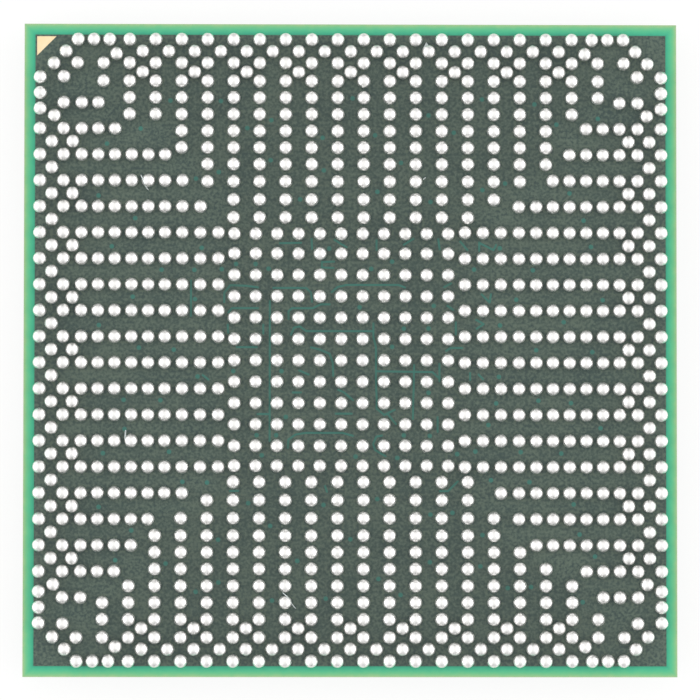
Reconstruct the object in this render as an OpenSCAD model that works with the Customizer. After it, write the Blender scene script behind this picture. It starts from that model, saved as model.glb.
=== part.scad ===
// Flip-chip ball grid array package: a square laminate that carries a bare die on one
// face and a field of solder balls on the other.
// The part lies with its balls up. X and Y run along the sawn edges, and the origin is the
// middle of the die's bare back, which is the face it rests on. The corner mark is at -X, +Y.

/* [Laminate] */
// Side of the square package
body_side = 25.1; // [25.05:0.01:25.15]
// Strip along each sawn edge that the outer copper stays clear of
edge_strip = 0.42; // [0.4:0.01:0.44]
// Strip along each sawn edge that the core copper stays clear of
core_edge_strip = 0.3; // [0.25:0.05:0.5]
// Thickness of the glass-epoxy core
core_t = 0.8; // [0.4:0.1:1.2]
// Thickness of the copper on each face of the core
core_copper_t = 0.02; // [0.015:0.005:0.035]
// Thickness of the build-up resin over the core copper
dielectric_t = 0.06; // [0.04:0.01:0.1]
// Thickness of the outer copper
plane_t = 0.015; // [0.012:0.001:0.02]
// Thickness of solder mask over the outer copper
mask_cover = 0.02; // [0.018:0.001:0.024]
// How far the solder mask sinks where no copper lies under it
mask_dip = 0.008; // [0.006:0.001:0.01]

/* [Solder balls] */
// Diameter of a ball
ball_d = 0.52; // [0.48:0.01:0.54]
// Diameter of the solder mask opening under a ball
opening_d = 0.36; // [0.34:0.01:0.38]
// Diameter of the copper land under a ball
land_d = 0.42; // [0.4:0.01:0.44]
// Diameter of the copper that stands out of the outer copper's border round an edge ball
edge_land_d = 0.5; // [0.48:0.01:0.52]
// Diameter of the clearing round a signal land
clearing_d = 0.5; // [0.48:0.01:0.52]
// Thickness of the nickel and gold finish on the lands
finish_t = 0.005; // [0.004:0.001:0.006]

/* [Die] */
// Length of the die along X
die_x = 9; // [8.6:0.1:11]
// Length of the die along Y
die_y = 8.6; // [8:0.1:11]
// Thickness of the die
die_t = 0.78; // [0.7:0.01:0.8]
// Gap between the die and the solder mask under it
die_gap = 0.07; // [0.06:0.005:0.08]
// Diameter of a die bump
bump_d = 0.14; // [0.12:0.01:0.16]
// Distance between die bumps
bump_pitch = 0.42; // [0.4:0.01:0.42]

/* [Hidden] */
$fn = 48;

NORTH = 0;
EAST = 1;
SOUTH = 2;
WEST = 3;
SIDES = [NORTH, EAST, SOUTH, WEST];

// Heights of the layers, from the die's back upwards
z_bumps = die_t;
z_die_mask = z_bumps + die_gap;
z_die_plane = z_die_mask + mask_cover;
z_die_dielectric = z_die_plane + plane_t;
z_die_core_copper = z_die_dielectric + dielectric_t;
z_core = z_die_core_copper + core_copper_t;
z_ball_core_copper = z_core + core_t;
z_ball_dielectric = z_ball_core_copper;
z_plane = z_ball_core_copper + core_copper_t + dielectric_t;
z_finish = z_plane + plane_t;
z_foot = z_finish + finish_t;
z_mask_top = z_finish + mask_cover;

plane_side = body_side - 2 * edge_strip;
core_copper_side = body_side - 2 * core_edge_strip;

// The ball field is described on the north side, as [offset along the side, distance from
// the middle], and turned clockwise for the other three.
function turned(p, side) =
    side == NORTH ? p : side == EAST ? [p.y, -p.x] : side == SOUTH ? [-p.x, -p.y] : [-p.y, p.x];
function both_ways(offsets) = [for (s = [-1, 1]) for (o = offsets) s * o];

edge_row_y = 11.93;
edge_offsets = concat([for (x = [-8.5:1:8.5]) x], both_ways([9.27, 9.875, 10.48]));
function edge_points(side) = [for (x = edge_offsets) turned([x, edge_row_y], side)];

// Two rows behind the edge row, staggered by half a step. The second row's end balls sit a
// little further in.
second_row_y = 11.475;
second_row_end_y = 11.385;
third_row_y = 10.68;
// Four balls at the corner clockwise from the side. All four corners mirror the north-east one.
corner_group = [[10.945, 11.475], [11.405, 11.01], [10.5, 11.03], [11.02, 10.5]];
corner_signs = [[1, 1], [1, -1], [-1, -1], [-1, 1]];
function mirrored(p, signs) = [p.x * signs.x, p.y * signs.y];
function staggered_points(side) = concat(
    [for (x = [-8:1:8]) turned([x, second_row_y], side)],
    [for (x = both_ways([9])) turned([x, second_row_end_y], side)],
    [for (x = [-8:2:8]) turned([x, third_row_y], side)],
    [for (p = corner_group) mirrored(p, corner_signs[side])]);

// Spokes run inwards from the staggered rows, 1 mm apart, and get shorter at the corners
spoke_lengths = [2, 4, 5, 6, 8, 10, 10, 10, 10, 10, 10, 10, 10, 10, 10, 9, 8, 7, 4, 3];
spoke_steps = [0, 0.695, 0.64, 0.64, 0.645, 0.64, 0.64, 0.665, 0.695, 0.69, 0.69];
spoke_start_y = 11.03;
function sum_to(steps, last) = last < 0 ? 0 : steps[last] + sum_to(steps, last - 1);
spoke_ys = [for (k = [0:len(spoke_steps) - 1]) spoke_start_y - sum_to(spoke_steps, k)];
// The east spokes reach one ball further in, and one north spoke makes room by stopping short
function spoke_length(side, i) = spoke_lengths[i]
    + (side == EAST && spoke_lengths[i] == 10 ? 1 : 0)
    - (side == NORTH && i == 2 ? 1 : 0);
function spoke_points(side) = [
    for (i = [0:len(spoke_lengths) - 1])
        for (k = [0:spoke_length(side, i) - 1])
            turned([i - 9.5, spoke_ys[k]], side)];

// The middle field is 11 balls by 12, and sits a little to the west
core_pitch = 0.8205;
core_x = -0.358;
core_rows = both_ways([0.41, 1.23, 2.05, 2.87, 3.69, 4.455]);
core_points = [for (c = [-5:5]) for (y = core_rows) [core_x + core_pitch * c, y]];

function all_sides(points) = [for (side = points) each side];
edge_field = all_sides([for (s = SIDES) edge_points(s)]);
staggered_field = all_sides([for (s = SIDES) staggered_points(s)]);
signal_field = all_sides([for (s = SIDES) spoke_points(s)]);
ball_field = concat(edge_field, staggered_field, signal_field, core_points);

// Vent holes let the outer copper breathe. Up to two lie in each lane between the spokes, at
// uneven places, and the ones in the middle field are placed by hand.
vent_d = 0.18;
vent_room = 0.38;
lane_vent_y = 6.5;
lane_vent_step = 2.4;
lane_vent_reach = 0.8;
lane_vent_drift = 0.08;
function far_from_balls(p) = min([for (b = ball_field) norm(b - p)]) > vent_room;
lane_vents = [
    for (s = SIDES) for (lane = [-10:10]) for (k = [0, 1]) if ((lane + 2 * k + s + 40) % 4 > 0)
        let (y = lane_vent_y + lane_vent_step * k + lane_vent_reach * sin(211 * lane + 97 * k + 53 * s),
             p = turned([lane + lane_vent_drift * sin(157 * lane + 71 * k), y], s))
        if (y > abs(lane) + vent_room && far_from_balls(p)) p];
middle_vents = [
    for (p = [
        [-6, 3.07], [-4.95, 3.1], [-4.4, 3.3], [-3.65, 3.3], [-3.15, 3.12], [-0.82, 3.9],
        [0.8, 3.12], [1.6, 3.4], [4.75, 3.1], [3.2, 1.7], [3, 0.83], [1.6, 0.12],
        [5.75, 0.95], [2.05, 0.82], [0.35, 1.64], [-2.65, -0.82], [-2.48, -2.58], [-4.5, -0.82],
        [-3.6, -3.28], [-2.85, -3.28], [-3.4, -4.05], [-5.5, -5.1], [0.2, -4.1], [1.8, -4.15],
        [2.05, -3.28], [3.05, -3.3], [4.1, -4], [4.8, -3.9], [5.3, -2.88], [5.6, -2.05],
        [5.4, -5], [3, -1.64], [1.85, -1.5]])
        if (far_from_balls(p)) p];
vents = concat(lane_vents, middle_vents);

// Gaps that part the outer copper into its supply areas. They stay clear of every opening.
gap_w = 0.08;
plane_gaps = [
    // Long runs through the middle field
    [[-3.1, 1.9], [-3.1, -3.5]],
    [[-3.6, -2.47], [-3.1, -2.47]],
    [[-2.3, 0.55], [-2.17, 0.85], [-1.95, 0.9], [-1.7, 0.72], [0.88, 0.72]],
    [[0.88, 1.05], [0.88, 0.5], [0.98, 0.1], [0.98, -1.25], [1.01, -1.9], [1, -2.25], [1.3, -2.5], [1.7, -2.3]],
    [[1.42, -2.44], [1.75, -2.85]],
    [[0.98, -0.82], [3.15, -0.85], [3.42, -1.1]],
    [[3.42, -0.5], [3.42, -1.2]],
    [[2.45, -0.55], [2.4, -2.65]],
    [[3.35, -2.55], [3.35, -3.15]],
    [[-2.4, -3.8], [-2.38, -3.45], [-2.1, -3.25], [-1.7, -3.19], [-0.3, -3.19], [0.1, -3.3]],
    [[-1.55, 0.1], [-1.2, 0.02], [-0.8, -0.15], [-0.68, -0.5], [-0.66, -1]],
    [[1.25, -3.28], [1, -3.33], [0.87, -3.6], [0.95, -3.85], [1.35, -4.08]],
    // North of the middle field's centre
    [[-3, 2.38], [-1.7, 2.38], [-1.52, 2.2], [-1.48, 1.85]],
    [[-0.75, 2.2], [-0.5, 2.42], [-0.15, 2.5], [1.85, 2.5], [2.1, 2.4]],
    [[-2.38, 1.15], [-2.38, 1.48], [-2.25, 1.6], [-1.45, 1.6], [-1.15, 1.75], [-0.8, 1.75]],
    [[-0.6, 3.4], [-1.1, 3.38], [-1.1, 3.17], [-0.65, 3.15]],
    [[-4.85, 1.8], [-4.85, 2.2], [-4.62, 2.48], [-4, 2.46], [-3.55, 2.4]],
    [[-4.72, 1.4], [-4.55, 1.6], [-3.55, 1.6]],
    [[-4.72, 1], [-4.7, 0.65]],
    [[-3.35, 1], [-3.35, 0.62]],
    [[-4.4, 0.1], [-3.6, 0.1]],
    [[-6.13, 2.7], [-6.13, 1.3]],
    [[-1.5, 4.3], [-1.48, 3.88]],
    [[-0.65, 4.25], [-0.15, 3.95]],
    [[-2.75, 4.1], [-1.9, 4.12]],
    [[1, 4.25], [1, 3.85]],
    [[2.45, 4.3], [2.05, 4.05]],
    [[3.37, 4.3], [3.43, 3.87]],
    [[4.2, 4.2], [4.5, 3.85]],
    [[4.95, 4.18], [4.95, 3.82]],
    [[4.95, 4.13], [5.5, 3.85], [5.6, 4.05]],
    [[3.9, 2.58], [3.6, 2.42]],
    [[3.7, 1.72], [3.95, 1.55]],
    [[5.02, 2.17], [5.35, 1.83], [5.4, 2.15]],
    [[4.8, 1.18], [5.12, 1], [4.85, 0.82]],
    [[4.05, 1.1], [4.05, 0.6]],
    [[3.65, -0.05], [3.85, 0.08], [4.3, 0.08]],
    // South of it
    [[-2, -0.78], [-1.6, -0.95]],
    [[-2.25, -1.64], [-1.9, -1.64]],
    [[-0.5, -1.52], [-0.25, -1.63], [0.1, -1.93]],
    [[-0.6, -2.45], [0.05, -2.45]],
    [[-5.7, -0.95], [-5.45, -1.15]],
    [[4.6, -0.85], [4.6, -1.15]],
    [[4.9, -0.92], [5.1, -1.12]],
    [[3.4, -5.42], [3.75, -5.42], [4.12, -5.05]],
    [[-4.65, -5.42], [-4.3, -5.42]],
    [[-0.98, -5.2], [-0.9, -5.45]]
];

// Barrels through the core, one under each vent and one between each four middle balls
via_d = 0.2;
via_clearing_d = 0.34;
via_points = concat(lane_vents, [
    for (c = [-5:4]) for (r = [-5:5]) [core_x + core_pitch * (c + 0.5), core_pitch * r]]);

// Die bumps, in a plain grid that stays inside the die
bumps_x = 20;
bumps_y = 18;
bump_pad_d = 0.22;
bump_window = 0.3;
bump_points = [
    for (i = [0:bumps_x - 1]) for (j = [0:bumps_y - 1])
        [(i - (bumps_x - 1) / 2) * bump_pitch, (j - (bumps_y - 1) / 2) * bump_pitch]];

// Underfill fillet: how far it spreads, how far it climbs the die, and the centre of the
// circle that hollows its face
fillet_w = 0.7;
fillet_h = 0.6;
hollow_x = 0.9;
hollow_y = (2 * fillet_w * hollow_x - fillet_w * fillet_w + fillet_h * fillet_h) / (2 * fillet_h);

// Bare copper corner marks: length of the two short sides, and their distance from the
// outer copper's border
mark_leg = 0.75;
mark_inset = 0.06;

// How far a cut runs past the face that it opens
cut_over = 1;

// ---- Shapes that several sub-parts share ----

module discs(points, d) {
    for (p = points)
        translate(p) circle(d = d);
}

module layer(z, t) {
    translate([0, 0, z]) linear_extrude(t) children();
}

module sheet(z, t, side) {
    layer(z, t) square(side, center = true);
}

// Outer copper of the ball side, with the lands of the edge row standing out of its border
module plane_outline() {
    square(plane_side, center = true);
    discs(edge_field, edge_land_d);
}

module gap_lines() {
    for (line = plane_gaps)
        for (i = [1:len(line) - 1]) {
            run = line[i] - line[i - 1];
            translate(line[i]) circle(d = gap_w);
            translate(line[i - 1]) rotate(atan2(run.y, run.x))
                translate([0, -gap_w / 2]) square([norm(run), gap_w]);
        }
}

module mark_outline() {
    corner = plane_side / 2 - mark_inset;
    polygon([[-corner, corner], [mark_leg - corner, corner], [-corner, corner - mark_leg]]);
}

// One ball, turned from its half section: a foot that fills the mask opening, and above the
// mask a sphere that is as wide as the opening where it leaves it
module ball() {
    foot_h = z_mask_top - z_foot;
    rise = sqrt(pow(ball_d / 2, 2) - pow(opening_d / 2, 2));
    rotate_extrude() {
        square([opening_d / 2, foot_h]);
        translate([0, foot_h]) intersection() {
            translate([0, rise]) circle(d = ball_d);
            square(ball_d);
        }
    }
}

module balls(points) {
    color("gainsboro") for (p = points)
        translate([p.x, p.y, z_foot]) ball();
}

// ---- Ball side ----

module ball_side_mask() {
    color("seagreen") difference() {
        layer(z_plane, plane_t + mask_cover) difference() {
            square(body_side, center = true);
            discs(ball_field, opening_d);
            mark_outline();
        }
        layer(z_plane - cut_over, cut_over + plane_t) plane_outline();
        layer(z_mask_top - mask_dip, cut_over) {
            difference() {
                square(body_side + 2 * cut_over, center = true);
                plane_outline();
            }
            discs(vents, vent_d);
            gap_lines();
        }
    }
}

module ground_plane() {
    color("darkslategray") layer(z_plane, plane_t) difference() {
        plane_outline();
        discs(signal_field, clearing_d);
        discs(vents, vent_d);
        gap_lines();
    }
}

module signal_lands() {
    color("peru") layer(z_plane, plane_t) discs(signal_field, land_d);
}

module pad_finish() {
    color("gold") layer(z_finish, finish_t) discs(ball_field, opening_d);
}

module corner_mark() {
    color("gold") layer(z_finish, finish_t) mark_outline();
}

module ball_side_dielectric() {
    color("darkseagreen") difference() {
        sheet(z_ball_dielectric, core_copper_t + dielectric_t, body_side);
        sheet(z_ball_dielectric - cut_over, cut_over + core_copper_t, core_copper_side);
    }
}

module core_copper(z) {
    color("peru") layer(z, core_copper_t) difference() {
        square(core_copper_side, center = true);
        discs(via_points, via_clearing_d);
    }
}

module core_laminate() {
    color("darkkhaki") layer(z_core, core_t) difference() {
        square(body_side, center = true);
        discs(via_points, via_d);
    }
}

module core_vias() {
    color("peru") layer(z_die_core_copper, core_t + 2 * core_copper_t) discs(via_points, via_d);
}

// ---- Die side ----

module die_side_dielectric() {
    color("darkseagreen") difference() {
        sheet(z_die_dielectric, dielectric_t + core_copper_t, body_side);
        sheet(z_die_core_copper, cut_over, core_copper_side);
    }
}

module bump_window_outline() {
    square([die_x + 2 * bump_window, die_y + 2 * bump_window], center = true);
}

module die_side_plane() {
    color("peru") layer(z_die_plane, plane_t) difference() {
        square(plane_side, center = true);
        bump_window_outline();
    }
}

module bump_pads() {
    color("peru") layer(z_die_plane, plane_t) discs(bump_points, bump_pad_d);
}

module die_side_mask() {
    color("seagreen") difference() {
        layer(z_die_mask, mask_cover + plane_t) difference() {
            square(body_side, center = true);
            discs(bump_points, bump_d);
            mark_outline();
        }
        layer(z_die_plane, cut_over) {
            difference() {
                square(plane_side, center = true);
                bump_window_outline();
            }
            discs(bump_points, bump_pad_d);
        }
    }
}

module die_corner_mark() {
    color("gold") layer(z_die_plane - finish_t, finish_t) mark_outline();
}

module die_bumps() {
    color("gainsboro") layer(z_bumps, die_gap + mask_cover) discs(bump_points, bump_d);
}

// Section of the fillet: x outwards from the die's wall, y down from the solder mask
module fillet_section() {
    intersection() {
        polygon([[0, 0], [fillet_w, 0], [0, fillet_h]]);
        difference() {
            square([fillet_w, fillet_h]);
            translate([hollow_x, hollow_y]) circle(r = norm([hollow_x - fillet_w, hollow_y]), $fn = 96);
        }
    }
}

module underfill() {
    overlap = 0.05;
    color("dimgray") {
        layer(z_bumps, die_gap) difference() {
            square([die_x + overlap, die_y + overlap], center = true);
            discs(bump_points, bump_d);
        }
        translate([0, 0, z_die_mask]) for (turn = [0, 1, 2, 3]) {
            along = turn % 2 == 0 ? die_y : die_x;
            out = turn % 2 == 0 ? die_x : die_y;
            rotate(90 * turn) {
                translate([out / 2, along / 2, 0]) rotate([90, 0, 0])
                    linear_extrude(along) mirror([0, 1]) fillet_section();
                translate([out / 2, along / 2, 0])
                    rotate_extrude(angle = 90) mirror([0, 1]) fillet_section();
            }
        }
    }
}

module die() {
    color("slategray") translate([-die_x / 2, -die_y / 2, 0]) cube([die_x, die_y, die_t]);
}

ball_side_mask();
ground_plane();
balls(spoke_points(NORTH));  // spoke_balls_north
balls(spoke_points(EAST));  // spoke_balls_east
balls(spoke_points(SOUTH));  // spoke_balls_south
balls(spoke_points(WEST));  // spoke_balls_west
balls(core_points);  // core_balls
balls(staggered_points(NORTH));  // staggered_balls_north
balls(staggered_points(EAST));  // staggered_balls_east
balls(staggered_points(SOUTH));  // staggered_balls_south
balls(staggered_points(WEST));  // staggered_balls_west
balls(edge_points(NORTH));  // edge_balls_north
balls(edge_points(EAST));  // edge_balls_east
balls(edge_points(SOUTH));  // edge_balls_south
balls(edge_points(WEST));  // edge_balls_west
pad_finish();
signal_lands();
corner_mark();
ball_side_dielectric();
core_copper(z_ball_core_copper);  // ball_side_core_copper
core_laminate();
core_vias();
core_copper(z_die_core_copper);  // die_side_core_copper
die_side_dielectric();
die_side_plane();
bump_pads();
die_side_mask();
die_corner_mark();
underfill();
die_bumps();
die();
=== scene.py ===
"""Looks for a flip-chip ball grid array package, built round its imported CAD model.

The package lies on its bare die with the solder balls up. Lengths are in metres, and MM turns
the millimetres that the values below are written in into metres.
"""

import math

import bmesh
import bpy
from mathutils import Matrix, Vector


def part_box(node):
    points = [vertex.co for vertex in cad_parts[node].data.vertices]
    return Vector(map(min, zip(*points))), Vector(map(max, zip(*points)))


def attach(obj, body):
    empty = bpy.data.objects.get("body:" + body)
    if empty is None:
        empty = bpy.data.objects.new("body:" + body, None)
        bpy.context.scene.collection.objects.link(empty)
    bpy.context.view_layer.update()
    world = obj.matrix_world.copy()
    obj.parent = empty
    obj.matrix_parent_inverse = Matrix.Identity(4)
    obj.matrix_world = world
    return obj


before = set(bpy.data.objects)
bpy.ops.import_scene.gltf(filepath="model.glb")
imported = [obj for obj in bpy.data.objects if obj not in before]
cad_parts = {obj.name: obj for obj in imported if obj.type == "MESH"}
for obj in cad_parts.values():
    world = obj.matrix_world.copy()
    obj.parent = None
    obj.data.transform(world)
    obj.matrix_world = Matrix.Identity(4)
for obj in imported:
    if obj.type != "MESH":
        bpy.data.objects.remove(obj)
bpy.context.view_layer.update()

MM = 0.001

BALL_NODES = [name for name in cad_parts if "_balls" in name]
COPPER_NODES = [
    "ground_plane",
    "signal_lands",
    "bump_pads",
    "die_side_plane",
    "core_vias",
    "ball_side_core_copper",
    "die_side_core_copper",
]
GOLD_NODES = ["pad_finish", "corner_mark", "die_corner_mark"]
RESIN_NODES = ["ball_side_dielectric", "die_side_dielectric"]

BODY_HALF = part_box("ball_side_mask")[1].x
PLANE_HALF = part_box("die_side_plane")[1].x
MASK_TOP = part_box("ball_side_mask")[1].z
MASK_DIP = 0.008 * MM
CORE_LOW, CORE_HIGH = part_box("core_laminate")


# ---- Colours ----


def linear(red, green, blue):
    """A colour picked on the usual 0 to 255 scale, as a shader wants it."""
    parts = [value / 255 for value in (red, green, blue)]
    return [p / 12.92 if p <= 0.04045 else ((p + 0.055) / 1.055) ** 2.4 for p in parts]


def coated(red, green, blue, haze=0.035):
    """The pigment under a glossy film, which adds its own pale haze to the colour seen."""
    return [max(part - haze, 0.003) for part in linear(red, green, blue)]


# ---- Shader nodes ----


class Recipe:
    """A node tree while it is being put together, and the place that its patterns read."""

    def __init__(self, tree, coordinates):
        self.tree = tree
        self.place = tree.nodes.new("ShaderNodeTexCoord").outputs[coordinates]

    def put(self, node, index, value):
        """Links value to an input if it is another node's output, and else sets it there."""
        if isinstance(value, bpy.types.NodeSocket):
            self.tree.links.new(value, node.inputs[index])
        else:
            node.inputs[index].default_value = value

    def math(self, operation, *values):
        node = self.tree.nodes.new("ShaderNodeMath")
        node.operation = operation
        for index, value in enumerate(values):
            self.put(node, index, value)
        return node.outputs[0]

    def between(self, value, low, high, to_low=0.0, to_high=1.0, straight=False):
        """value, eased from to_low at low to to_high at high, and level outside."""
        node = self.tree.nodes.new("ShaderNodeMapRange")
        node.interpolation_type = "LINEAR" if straight else "SMOOTHSTEP"
        for index, number in enumerate((value, low, high, to_low, to_high)):
            self.put(node, index, number)
        return node.outputs[0]

    def axes(self):
        node = self.tree.nodes.new("ShaderNodeSeparateXYZ")
        self.tree.links.new(self.place, node.inputs[0])
        return node.outputs

    def stretched(self, x, y, z):
        """Object coordinates scaled along each axis, which draws a pattern out."""
        node = self.tree.nodes.new("ShaderNodeMapping")
        self.tree.links.new(self.place, node.inputs["Vector"])
        node.inputs["Scale"].default_value = (x, y, z)
        return node.outputs[0]

    def blend(self, share, first, second):
        """Two values mixed: first where share is 0, and second where it is 1."""
        rest = self.math("SUBTRACT", 1.0, share)
        return self.math("ADD", self.math("MULTIPLY", first, rest), self.math("MULTIPLY", second, share))

    def noise(self, grain, detail=2.0, roughness=0.5, vector=None):
        """Soft noise from 0 to 1 whose blotches are about grain across."""
        node = self.tree.nodes.new("ShaderNodeTexNoise")
        self.tree.links.new(vector or self.place, node.inputs["Vector"])
        node.inputs["Scale"].default_value = 1 / grain
        node.inputs["Detail"].default_value = detail
        node.inputs["Roughness"].default_value = roughness
        return node.outputs["Fac"]

    def mix(self, share, first, second):
        """Colour first where share is 0, and second where it is 1."""
        node = self.tree.nodes.new("ShaderNodeMix")
        node.data_type = "RGBA"
        self.put(node, 0, share)
        for index, colour in ((6, first), (7, second)):
            self.put(node, index, [*colour, 1] if isinstance(colour, list) else colour)
        return node.outputs[2]

    def ramp(self, value, stops):
        """A colour that runs through stops, each a place from 0 to 1 and a colour."""
        node = self.tree.nodes.new("ShaderNodeValToRGB")
        self.tree.links.new(value, node.inputs[0])
        band = node.color_ramp
        while len(band.elements) < len(stops):
            band.elements.new(0.5)
        for element, (place, colour) in zip(band.elements, stops):
            element.position = place
            element.color = [*colour, 1]
        return node.outputs[0]


class Finish(Recipe):
    """A material with one Principled shader, whose plain sockets are given by name."""

    def __init__(self, name, **sockets):
        self.material = bpy.data.materials.new(name)
        self.material.use_nodes = True
        super().__init__(self.material.node_tree, "Object")
        self.shader = self.tree.nodes["Principled BSDF"]
        for socket, value in sockets.items():
            self.shader.inputs[socket.replace("_", " ")].default_value = value

    def bump(self, height, depth):
        node = self.tree.nodes.new("ShaderNodeBump")
        node.inputs["Distance"].default_value = depth
        self.tree.links.new(height, node.inputs["Height"])
        self.tree.links.new(node.outputs[0], self.shader.inputs["Normal"])

    def feed(self, socket, value):
        self.tree.links.new(value, self.shader.inputs[socket])


# ---- Finishes ----

# Solder mask over copper, and where none lies under it
MASK_FIELD_DARK = coated(70, 84, 81)
MASK_FIELD_PALE = coated(98, 111, 100)
MASK_OVER_GAP = coated(72, 120, 110)
# Bare border from the copper's edge out to the sawn edge
MASK_BORDER = [
    (0.0, coated(164, 190, 145)),
    (0.1, coated(144, 188, 137)),
    (0.3, coated(113, 187, 137)),
    (0.55, coated(90, 183, 139)),
    (0.85, coated(74, 171, 136)),
    (1.0, coated(70, 158, 128)),
]


def solder_mask(name, dipped):
    """Green solder mask: dark over copper, bright along the bare border and pale where sawn."""
    mask = Finish(name, Roughness=0.42, IOR=1.5)
    x, y, z = mask.axes()
    reach = mask.math("MAXIMUM", mask.math("ABSOLUTE", x), mask.math("ABSOLUTE", y))
    grain = mask.noise(0.11 * MM, detail=3.0)
    cloud = mask.noise(1.7 * MM)
    mottle = mask.between(mask.blend(0.2, grain, cloud), 0.36, 0.64)
    field = mask.mix(mottle, MASK_FIELD_DARK, MASK_FIELD_PALE)
    inward = mask.between(reach, BODY_HALF, PLANE_HALF, straight=True)
    ragged = mask.math("ADD", inward, mask.between(mask.noise(0.25 * MM), 0.0, 1.0, -0.08, 0.08))
    border = mask.ramp(ragged, MASK_BORDER)
    on_border = mask.math("GREATER_THAN", reach, PLANE_HALF)
    if dipped:
        low = mask.mix(on_border, MASK_OVER_GAP, border)
        raised = mask.math("GREATER_THAN", z, MASK_TOP - MASK_DIP / 2)
        colour = mask.mix(raised, low, field)
    else:
        colour = mask.mix(on_border, field, border)
    mask.feed("Base Color", colour)
    mask.bump(mask.noise(0.3 * MM, detail=3.0), 0.004 * MM)
    return mask.material


def solder():
    """Reflowed solder: bright, with the slight grain and sag of a frozen surface."""
    metal = Finish("solder", Metallic=1.0)
    tone = metal.noise(0.5 * MM)
    metal.feed("Base Color", metal.mix(tone, linear(240, 239, 237), linear(248, 247, 245)))
    metal.feed("Roughness", metal.between(metal.noise(0.12 * MM, detail=3.0), 0.3, 0.7, 0.36, 0.52))
    metal.bump(metal.noise(0.2 * MM, detail=3.0, roughness=0.55), 0.02 * MM)
    return metal.material


def gold_plate():
    """Nickel and gold over etched copper, with its satin grain."""
    metal = Finish("gold_plate", Metallic=1.0, Roughness=0.38)
    tone = metal.noise(0.2 * MM, detail=3.0)
    metal.feed("Base Color", metal.mix(tone, linear(246, 218, 168), linear(255, 236, 200)))
    metal.bump(metal.noise(0.05 * MM, detail=3.0), 0.004 * MM)
    return metal.material


def copper():
    """Etched copper, a little dulled."""
    metal = Finish("copper", Metallic=1.0, Roughness=0.45)
    tone = metal.noise(0.6 * MM, detail=4.0)
    metal.feed("Base Color", metal.mix(tone, linear(184, 108, 78), linear(214, 142, 108)))
    metal.bump(metal.noise(0.08 * MM, detail=3.0), 0.005 * MM)
    return metal.material


def build_up_resin():
    """The thin resin layers, seen only where the saw cut them."""
    resin = Finish("build_up_resin", Roughness=0.6)
    streak = resin.noise(0.5 * MM, detail=4.0, vector=resin.stretched(1, 1, 12))
    resin.feed("Base Color", resin.mix(streak, linear(112, 132, 88), linear(160, 176, 124)))
    resin.bump(streak, 0.01 * MM)
    return resin.material


# Length and height of one wave of the glass cloth in the core
CLOTH_WEAVE = 1.1 * MM
CLOTH_WAVE = 0.012 * MM


def glass_epoxy():
    """The sawn core: cloth layers cut through, with broken strands between bands of resin."""
    core = Finish("glass_epoxy", Roughness=0.7)
    x, y, z = core.axes()
    turn = core.math("MULTIPLY", core.math("ADD", x, y), 2 * math.pi / CLOTH_WEAVE)
    wave = core.math("MULTIPLY", core.math("SINE", turn), CLOTH_WAVE)
    depth = core.math("SUBTRACT", core.math("ADD", z, wave), CORE_LOW.z)
    layer_t = (CORE_HIGH.z - CORE_LOW.z) / 4
    layers = core.math("PINGPONG", depth, layer_t / 2)
    cloth = core.between(layers, 0.2 * layer_t, 0.42 * layer_t)
    strands = core.noise(0.35 * MM, detail=5.0, roughness=0.7, vector=core.stretched(1, 1, 14))
    resin = core.mix(strands, linear(134, 138, 92), linear(166, 168, 118))
    glass = core.mix(strands, linear(150, 154, 108), linear(190, 192, 146))
    core.feed("Base Color", core.mix(cloth, resin, glass))
    core.bump(core.math("ADD", strands, core.math("MULTIPLY", cloth, 0.3)), 0.02 * MM)
    return core.material


def underfill_epoxy():
    """Dark filled epoxy with a smooth skin and a few specks of filler."""
    epoxy = Finish("underfill_epoxy", Roughness=0.36)
    tone = epoxy.noise(0.9 * MM, detail=4.0)
    epoxy.feed("Base Color", epoxy.mix(tone, linear(34, 34, 38), linear(52, 52, 56)))
    epoxy.bump(epoxy.noise(0.25 * MM, detail=4.0), 0.012 * MM)
    return epoxy.material


# Where the wheel that ground the die turned, well outside it
GRIND_CENTRE = (18 * MM, 11 * MM, 0)


def ground_silicon():
    """The die: a back ground to a dull mirror, and sawn sides."""
    silicon = Finish("ground_silicon", Metallic=0.85, Roughness=0.3)
    swirl = silicon.tree.nodes.new("ShaderNodeTexWave")
    swirl.wave_type = "RINGS"
    swirl.rings_direction = "Z"
    swirl.inputs["Scale"].default_value = 1 / (0.5 * MM)
    swirl.inputs["Distortion"].default_value = 1.5
    swirl.inputs["Detail"].default_value = 4.0
    shifted = silicon.tree.nodes.new("ShaderNodeMapping")
    shifted.inputs["Location"].default_value = GRIND_CENTRE
    silicon.tree.links.new(silicon.place, shifted.inputs["Vector"])
    silicon.tree.links.new(shifted.outputs[0], swirl.inputs["Vector"])
    marks = silicon.blend(0.6, swirl.outputs["Fac"], silicon.noise(0.7 * MM, detail=3.0))
    silicon.feed("Base Color", silicon.mix(marks, linear(116, 120, 130), linear(126, 130, 140)))
    silicon.bump(marks, 0.0006 * MM)
    return silicon.material


def dress(names, material):
    """Gives CAD nodes a finish."""
    for name in names:
        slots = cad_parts[name].data.materials
        slots.clear()
        slots.append(material)


dress(["ball_side_mask"], solder_mask("solder_mask_ball_side", dipped=True))
dress(["die_side_mask"], solder_mask("solder_mask_die_side", dipped=False))
dress(BALL_NODES + ["die_bumps"], solder())
dress(GOLD_NODES, gold_plate())
dress(COPPER_NODES, copper())
dress(RESIN_NODES, build_up_resin())
dress(["core_laminate"], glass_epoxy())
dress(["underfill"], underfill_epoxy())
dress(["die"], ground_silicon())


# ---- Lint ----

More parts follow.
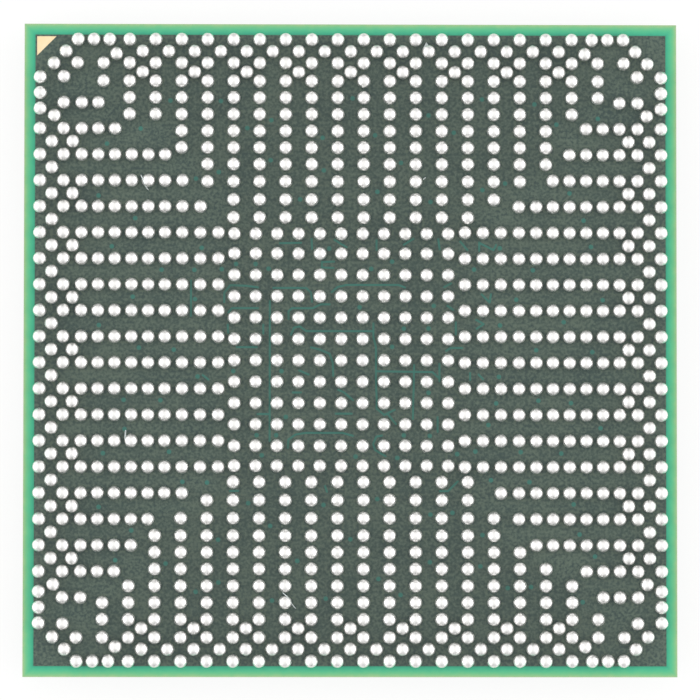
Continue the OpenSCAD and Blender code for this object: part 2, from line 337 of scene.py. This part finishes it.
# Fibres that lie on the mask and against the balls: the radius of each, and points along it, in
# millimetres with the height over the mask last
FIBRES = {
    "lint_fibre_northwest": (
        0.022,
        [(-8.07, 6.72, 0.3), (-7.97, 6.53, 0.4), (-7.92, 6.32, 0.33), (-7.75, 6.11, 0.04)],
    ),
    "lint_fibre_west": (
        0.03,
        [(-8.62, -3.07, 0.05), (-8.63, -3.28, 0.2), (-8.64, -3.5, 0.33)],
    ),
    "lint_fibre_south": (
        0.02,
        [
            (-2.62, -9.29, 0.31),
            (-2.385, -9.49, 0.34),
            (-2.28, -9.67, 0.33),
            (-2.21, -9.8, 0.2),
            (-2.07, -9.94, 0.04),
        ],
    ),
    "lint_fibre_northeast": (
        0.022,
        [(2.77, 6.55, 0.1), (2.83, 6.6, 0.06), (2.9, 6.65, 0.04)],
    ),
}
FIBRE_SIDES = 8
# A flake that leans on a ball of the second row
FLAKE = [(2.91, 11.87, 0.05), (2.78, 11.6, 0.32), (3.07, 11.58, 0.45)]
FLAKE_T = 0.02


def on_mask(x, y, height):
    """A point of the ball side, given in millimetres and by its height over the mask."""
    return Vector((x * MM, y * MM, MASK_TOP + height * MM))


def lint():
    """Pale dust from cloth and paper."""
    fluff = Finish("lint", Roughness=0.8)
    tone = fluff.noise(0.08 * MM, detail=3.0)
    fluff.feed("Base Color", fluff.mix(tone, linear(168, 178, 172), linear(226, 232, 236)))
    fluff.bump(tone, 0.005 * MM)
    return fluff.material


def add_piece(name, shape, material):
    """A mesh piece made from a finished bmesh, riding on the package."""
    bmesh.ops.recalc_face_normals(shape, faces=shape.faces)
    mesh = bpy.data.meshes.new(name)
    shape.to_mesh(mesh)
    shape.free()
    for face in mesh.polygons:
        face.use_smooth = True
    mesh.materials.append(material)
    piece = bpy.data.objects.new(name, mesh)
    bpy.context.scene.collection.objects.link(piece)
    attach(piece, "root")
    return piece


def add_fibre(name, radius, route, material):
    """A thin closed tube drawn along its route from one ring of vertices."""
    stops = [on_mask(*point) for point in route]
    facing = (stops[-1] - stops[0]).to_track_quat("Z", "Y").to_matrix().to_4x4()
    shape = bmesh.new()
    start = Matrix.Translation(stops[0]) @ facing
    bmesh.ops.create_circle(
        shape, cap_ends=True, segments=FIBRE_SIDES, radius=radius * MM, matrix=start
    )
    end = shape.faces[:]
    for here, there in zip(stops, stops[1:]):
        grown = bmesh.ops.extrude_face_region(shape, geom=end)["geom"]
        ring = [part for part in grown if isinstance(part, bmesh.types.BMVert)]
        if here != stops[0]:
            bmesh.ops.delete(shape, geom=end, context="FACES")
        bmesh.ops.translate(shape, verts=ring, vec=there - here)
        end = [part for part in grown if isinstance(part, bmesh.types.BMFace)]
    piece = add_piece(name, shape, material)
    rounding = piece.modifiers.new("round", "SUBSURF")
    rounding.levels = 2
    rounding.render_levels = 2
    return piece


def add_flake(name, corners, thickness, material):
    """A thin three-cornered flake."""
    shape = bmesh.new()
    face = shape.faces.new([shape.verts.new(on_mask(*corner)) for corner in corners])
    face.normal_update()
    grown = bmesh.ops.extrude_face_region(shape, geom=[face])["geom"]
    lifted = [part for part in grown if isinstance(part, bmesh.types.BMVert)]
    bmesh.ops.translate(shape, verts=lifted, vec=face.normal * thickness * MM)
    bmesh.ops.bevel(
        shape,
        geom=shape.edges[:],
        offset=0.3 * thickness * MM,
        affect="EDGES",
        segments=2,
        profile=0.5,
        material=-1,
    )
    return add_piece(name, shape, material)


dust = lint()
for fibre_name, (fibre_radius, fibre_route) in FIBRES.items():
    add_fibre(fibre_name, fibre_radius, fibre_route, dust)
add_flake("lint_flake", FLAKE, FLAKE_T, dust)


# ---- Camera ----

CAMERA_DISTANCE = 180 * MM
# How far the copy stand's camera is off square, in radians
LEAN_X = -0.04086
LEAN_Y = 0.01451
ROLL = -0.00145
# Where the middle of the view lies, from the middle of the ball field
VIEW_MIDDLE = (-0.0184 * MM, -0.0045 * MM)
VIEW_WIDTH = 26.893 * MM
SENSOR = 36.0


def add_camera():
    lean = Matrix.Rotation(LEAN_Y, 3, "Y") @ Matrix.Rotation(LEAN_X, 3, "X")
    upright = (lean @ Matrix.Rotation(ROLL, 3, "Z")).transposed()
    data = bpy.data.cameras.new("camera")
    data.sensor_width = SENSOR
    data.lens = SENSOR * CAMERA_DISTANCE / VIEW_WIDTH
    data.clip_start = 1 * MM
    data.clip_end = 10
    camera = bpy.data.objects.new("camera", data)
    bpy.context.scene.collection.objects.link(camera)
    target = Vector((0, 0, MASK_TOP))
    offset = upright @ Vector((VIEW_MIDDLE[0], VIEW_MIDDLE[1], CAMERA_DISTANCE))
    camera.matrix_world = Matrix.Translation(target + offset) @ upright.to_4x4()
    bpy.context.scene.camera = camera


add_camera()


# ---- Floor and light ----

FLOOR_RADIUS = 1.5
# How much of the floor's own white shows to the eye; the rest takes the shadow
FLOOR_GLOW = 0.85
# The light tent, by direction: each pair is where a change starts and ends, as the part of a
# unit direction that lies along Y or X
TENT_LEVEL = 1.05
SOUTH_WALL = (-0.75, -0.25)
SOUTH_WALL_LEVEL = 0.82
LOW_END = (0.85, 0.98)
LOW_END_LEVEL = 0.0
SIDE_LAMP = (0.66, 0.9)
SIDE_LAMP_LEVEL = 2.2


def add_floor():
    """A wide white sheet under the die that keeps a faint shadow."""
    shape = bmesh.new()
    bmesh.ops.create_circle(shape, cap_ends=True, segments=64, radius=FLOOR_RADIUS)
    mesh = bpy.data.meshes.new("floor")
    shape.to_mesh(mesh)
    shape.free()
    floor = bpy.data.objects.new("floor", mesh)
    bpy.context.scene.collection.objects.link(floor)
    paper = Finish("white_sheet", Roughness=0.9)
    paper.shader.inputs["Base Color"].default_value = [*linear(250, 250, 250), 1]
    tree = paper.tree
    rays = tree.nodes.new("ShaderNodeLightPath")
    seen = paper.math("MAXIMUM", rays.outputs["Is Camera Ray"], rays.outputs["Is Glossy Ray"])
    seen = paper.math("MAXIMUM", seen, rays.outputs["Is Transmission Ray"])
    white = tree.nodes.new("ShaderNodeEmission")
    both = tree.nodes.new("ShaderNodeMixShader")
    tree.links.new(paper.math("MULTIPLY", seen, FLOOR_GLOW), both.inputs[0])
    tree.links.new(paper.shader.outputs[0], both.inputs[1])
    tree.links.new(white.outputs[0], both.inputs[2])
    tree.links.new(both.outputs[0], tree.nodes["Material Output"].inputs["Surface"])
    mesh.materials.append(paper.material)


def add_sky():
    """A white light tent: dimmer to the south, low dark ends, and a low lamp behind each side."""
    world = bpy.data.worlds.new("studio")
    bpy.context.scene.world = world
    world.use_nodes = True
    tent = Recipe(world.node_tree, "Generated")
    x, y, z = tent.axes()
    wall = tent.between(y, *SOUTH_WALL, SOUTH_WALL_LEVEL, TENT_LEVEL)
    ends = tent.between(tent.math("ABSOLUTE", y), *LOW_END, 1.0, LOW_END_LEVEL)
    lamps = tent.between(tent.math("ABSOLUTE", x), *SIDE_LAMP, 0.0, SIDE_LAMP_LEVEL)
    level = tent.math("ADD", tent.math("MULTIPLY", wall, ends), lamps)
    tent.tree.links.new(level, tent.tree.nodes["Background"].inputs["Strength"])
    tent.tree.nodes["Background"].inputs["Color"].default_value = (1, 1, 1, 1)


add_floor()
add_sky()

view = bpy.context.scene.view_settings
view.view_transform = "Standard"
